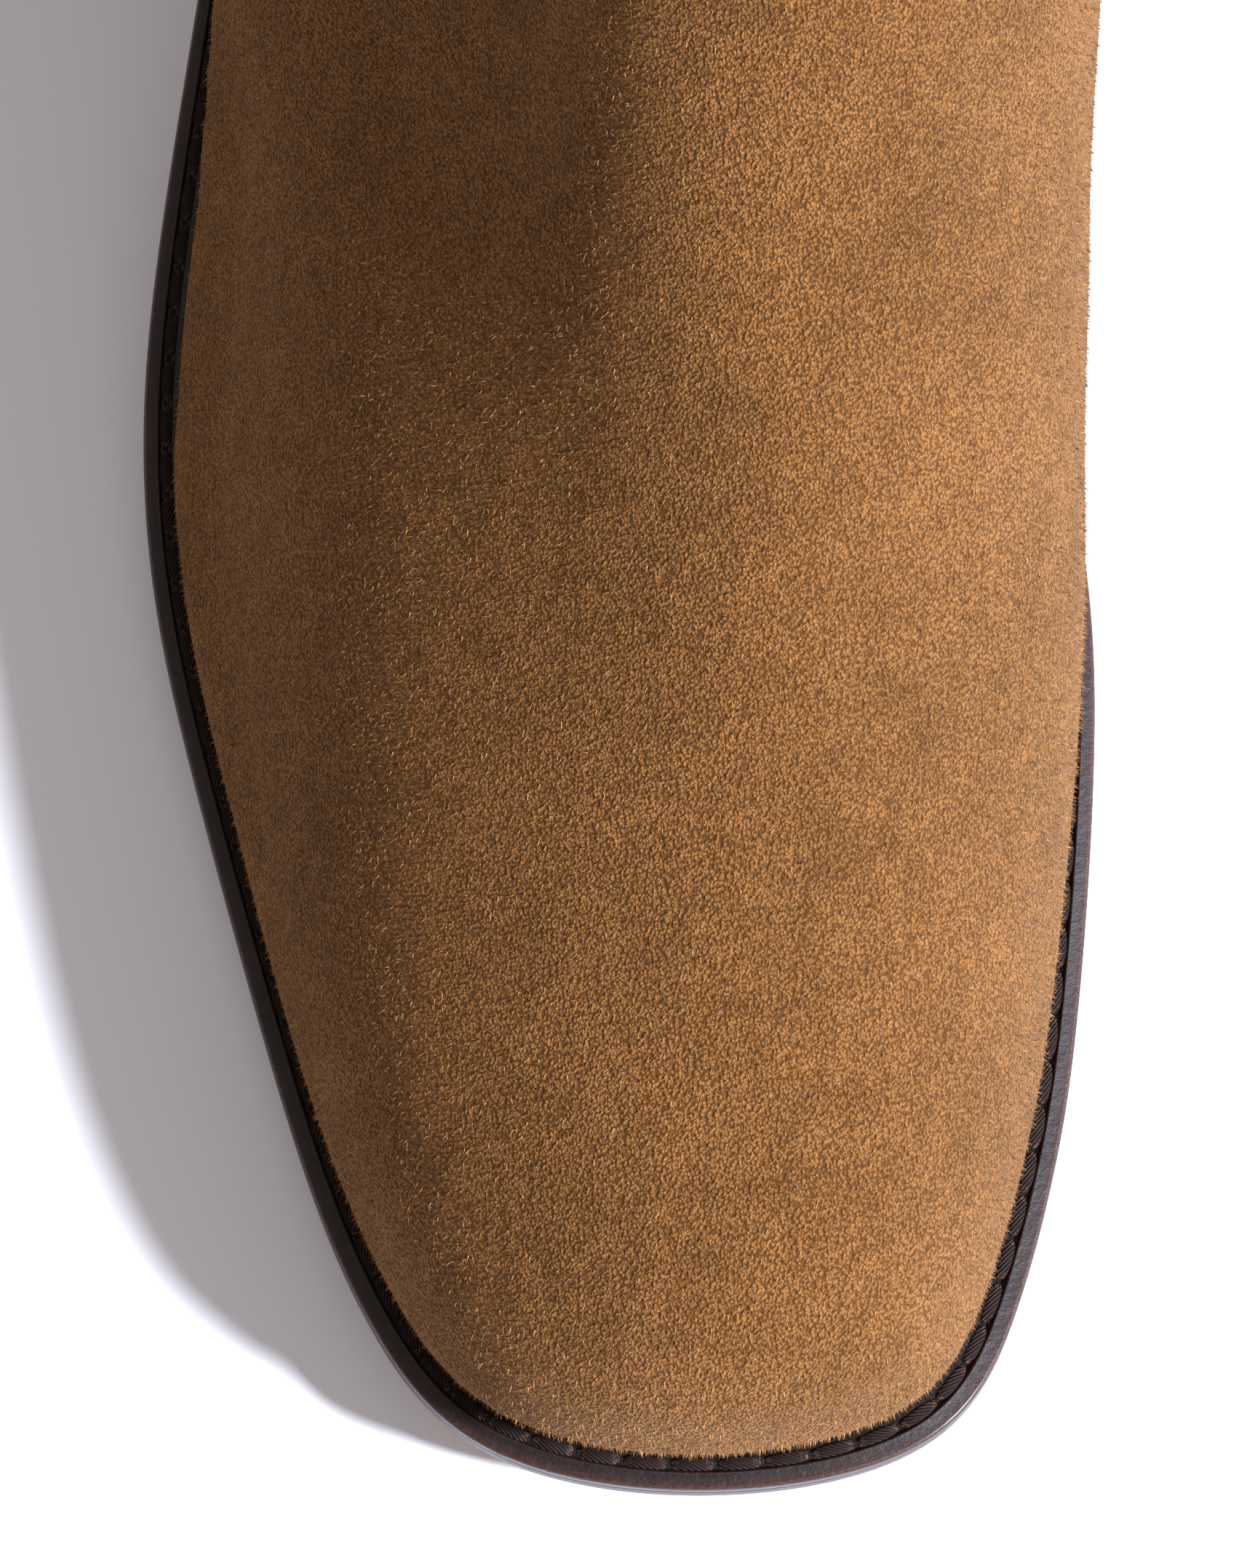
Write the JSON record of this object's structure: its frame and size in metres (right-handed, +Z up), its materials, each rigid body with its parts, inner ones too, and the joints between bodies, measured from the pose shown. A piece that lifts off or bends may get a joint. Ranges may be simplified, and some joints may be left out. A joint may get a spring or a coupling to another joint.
{
  "type": "chelsea boot",
  "caption": "Right ankle boot with elastic side gores, swinging webbing pull tabs, sewn welt, leather sole and stacked heel.",
  "frame": {"origin": "on the floor, under the middle of the sole's outline", "axes": "+Y from toe to heel, +X to the big toe side, +Z up"},
  "size_m": [0.106, 0.3, 0.1954],
  "materials": {
    "suede": "tan suede leather, short brushed nap, dry and matte",
    "welt_leather": "dark brown waxed leather, semi-gloss",
    "outsole_leather": "dark brown dressed leather, semi-gloss edge",
    "stacked_leather": "stacked leather lifts, burnished",
    "top_piece_rubber": "hard black-brown rubber, matte",
    "nail_brass": "brushed brass",
    "seam_thread": "waxed dark brown thread",
    "insole_leather": "plain vegetable-tanned leather",
    "sock_leather": "smooth tan leather",
    "lining_leather": "smooth tan lining leather",
    "cork": "ground cork paste",
    "shank_steel": "plain spring steel",
    "stiffener": "stiffened fibre board",
    "elastic": "ribbed dark brown elastic",
    "webbing": "woven herringbone tape"
  },
  "bodies": {
    "boot": {"vamp": "suede", "quarter": "suede", "welt": "welt_leather", "heel_rand": "welt_leather", "outsole": "outsole_leather", "heel_top_piece": "top_piece_rubber", "welt_thread": "seam_thread", "insole": "insole_leather", "insole_rib": "insole_leather", "sock_liner": "sock_leather", "cork_filler": "cork", "shank": "shank_steel", "toe_puff": "stiffener", "heel_counter": "stiffener", "vamp_lining": "lining_leather", "quarter_lining": "lining_leather", "lateral_gore": "elastic", "medial_gore": "elastic", "front_pull_tab_tail": "webbing", "rear_pull_tab_tail": "webbing", "heel_lift_1": "stacked_leather", "heel_lift_2": "stacked_leather", "heel_lift_3": "stacked_leather", "heel_lift_4": "stacked_leather", "heel_nail_1": "nail_brass", "heel_nail_2": "nail_brass", "heel_nail_3": "nail_brass", "heel_nail_4": "nail_brass", "heel_nail_5": "nail_brass"},
    "front_pull_tab": {"front_pull_tab": "webbing"},
    "rear_pull_tab": {"rear_pull_tab": "webbing"}
  },
  "joints": [
    {"name": "front_pull_tab_swing", "type": "hinge", "parent": "boot", "child": "front_pull_tab", "pos_m": [0.003, 0.03621, 0.1714], "axis": [1, 0, 0], "range_deg": [-80, 80], "stiffness_Nm_per_rad": 0.004},
    {"name": "rear_pull_tab_swing", "type": "hinge", "parent": "boot", "child": "rear_pull_tab", "pos_m": [0.003, 0.13181, 0.1714], "axis": [1, 0, 0], "range_deg": [-80, 80], "stiffness_Nm_per_rad": 0.004}
  ]
}
